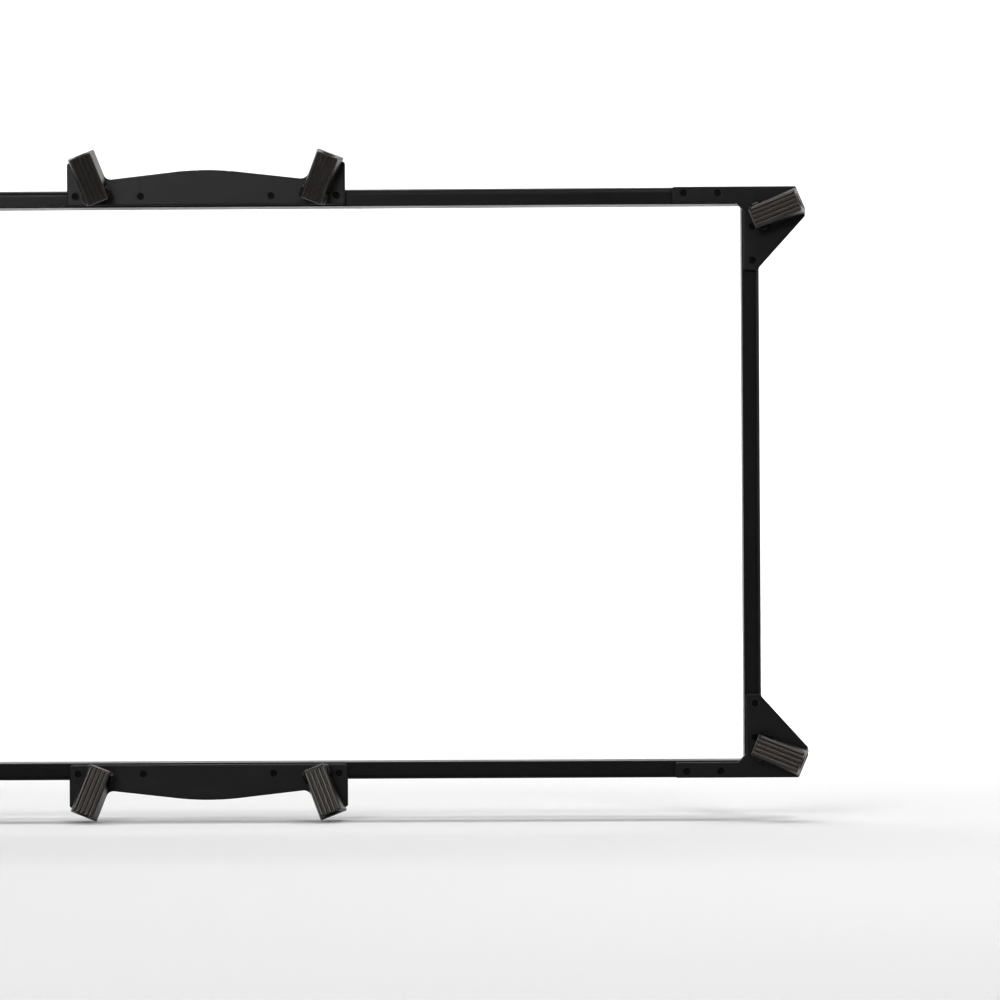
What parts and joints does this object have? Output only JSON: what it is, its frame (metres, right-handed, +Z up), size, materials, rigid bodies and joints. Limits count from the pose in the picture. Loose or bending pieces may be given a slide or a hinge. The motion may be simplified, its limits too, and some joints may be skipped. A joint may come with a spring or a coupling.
{
  "type": "light bank pole ring",
  "caption": "Slim rectangular black ring with braced corners and folding ribbed sockets that hold the poles of a fabric light bank on an LED panel light.",
  "frame": {"origin": "centre of the aperture, in the plane of the ring's back faces", "axes": "+X right seen from the front, +Z up, -Y out of the front, so +Y points at the light panel"},
  "size_m": [0.67, 0.039, 0.3754],
  "materials": {
    "rail_black": "satin black anodised extrusion",
    "plate_black": "fine bead-blasted black anodised plate with bare-looking broken edges",
    "bare_aluminium": "mill finish",
    "black_steel": "black coated sheet steel",
    "socket_black": "moulded ribbed black glass-filled plastic",
    "screw_black": "black oxide",
    "rivet_black": "black coated, flush"
  },
  "bodies": {
    "ring": {"rail_top": "rail_black", "rail_bottom": "rail_black", "rail_left": "rail_black", "rail_right": "rail_black", "corner_plate_top_right": "plate_black", "corner_key_top_right": "bare_aluminium", "corner_plate_top_left": "plate_black", "corner_key_top_left": "bare_aluminium", "corner_plate_bottom_right": "plate_black", "corner_key_bottom_right": "bare_aluminium", "corner_plate_bottom_left": "plate_black", "corner_key_bottom_left": "bare_aluminium", "centre_plate_top": "plate_black", "nut_bar_top": "bare_aluminium", "centre_plate_bottom": "plate_black", "nut_bar_bottom": "bare_aluminium", "hinge_bracket_corner_top_right": "black_steel", "hinge_bracket_corner_top_left": "black_steel", "hinge_bracket_corner_bottom_right": "black_steel", "hinge_bracket_corner_bottom_left": "black_steel", "hinge_bracket_centre_top_right": "black_steel", "hinge_bracket_centre_top_left": "black_steel", "hinge_bracket_centre_bottom_right": "black_steel", "hinge_bracket_centre_bottom_left": "black_steel", "corner_plate_screws": "screw_black", "centre_plate_screws": "screw_black", "bracket_rivets": "rivet_black", "pivot_screws": "black_steel", "pivot_nuts": "screw_black", "spring_washers": "screw_black"},
    "socket_corner_top_right": {"socket_corner_top_right": "socket_black"},
    "socket_corner_top_left": {"socket_corner_top_left": "socket_black"},
    "socket_corner_bottom_right": {"socket_corner_bottom_right": "socket_black"},
    "socket_corner_bottom_left": {"socket_corner_bottom_left": "socket_black"},
    "socket_centre_top_right": {"socket_centre_top_right": "socket_black"},
    "socket_centre_top_left": {"socket_centre_top_left": "socket_black"},
    "socket_centre_bottom_right": {"socket_centre_bottom_right": "socket_black"},
    "socket_centre_bottom_left": {"socket_centre_bottom_left": "socket_black"}
  },
  "joints": [
    {"name": "pivot_corner_top_right", "type": "hinge", "parent": "ring", "child": "socket_corner_top_right", "pos_m": [0.3086, -0.029, 0.1477], "axis": [0.3665, 0, -0.9304], "range_deg": [0, 80]},
    {"name": "pivot_corner_top_left", "type": "hinge", "parent": "ring", "child": "socket_corner_top_left", "pos_m": [-0.3086, -0.029, 0.1477], "axis": [0.3665, 0, 0.9304], "range_deg": [0, 80]},
    {"name": "pivot_corner_bottom_right", "type": "hinge", "parent": "ring", "child": "socket_corner_bottom_right", "pos_m": [0.3086, -0.029, -0.1477], "axis": [-0.3665, 0, -0.9304], "range_deg": [0, 80]},
    {"name": "pivot_corner_bottom_left", "type": "hinge", "parent": "ring", "child": "socket_corner_bottom_left", "pos_m": [-0.3086, -0.029, -0.1477], "axis": [-0.3665, 0, 0.9304], "range_deg": [0, 80]},
    {"name": "pivot_centre_top_right", "type": "hinge", "parent": "ring", "child": "socket_centre_top_right", "pos_m": [0.0607, -0.029, 0.1613], "axis": [0.9304, 0, -0.3665], "range_deg": [0, 80]},
    {"name": "pivot_centre_top_left", "type": "hinge", "parent": "ring", "child": "socket_centre_top_left", "pos_m": [-0.0607, -0.029, 0.1613], "axis": [0.9304, 0, 0.3665], "range_deg": [0, 80]},
    {"name": "pivot_centre_bottom_right", "type": "hinge", "parent": "ring", "child": "socket_centre_bottom_right", "pos_m": [0.0607, -0.029, -0.1613], "axis": [-0.9304, 0, -0.3665], "range_deg": [0, 80]},
    {"name": "pivot_centre_bottom_left", "type": "hinge", "parent": "ring", "child": "socket_centre_bottom_left", "pos_m": [-0.0607, -0.029, -0.1613], "axis": [-0.9304, 0, 0.3665], "range_deg": [0, 80]}
  ]
}
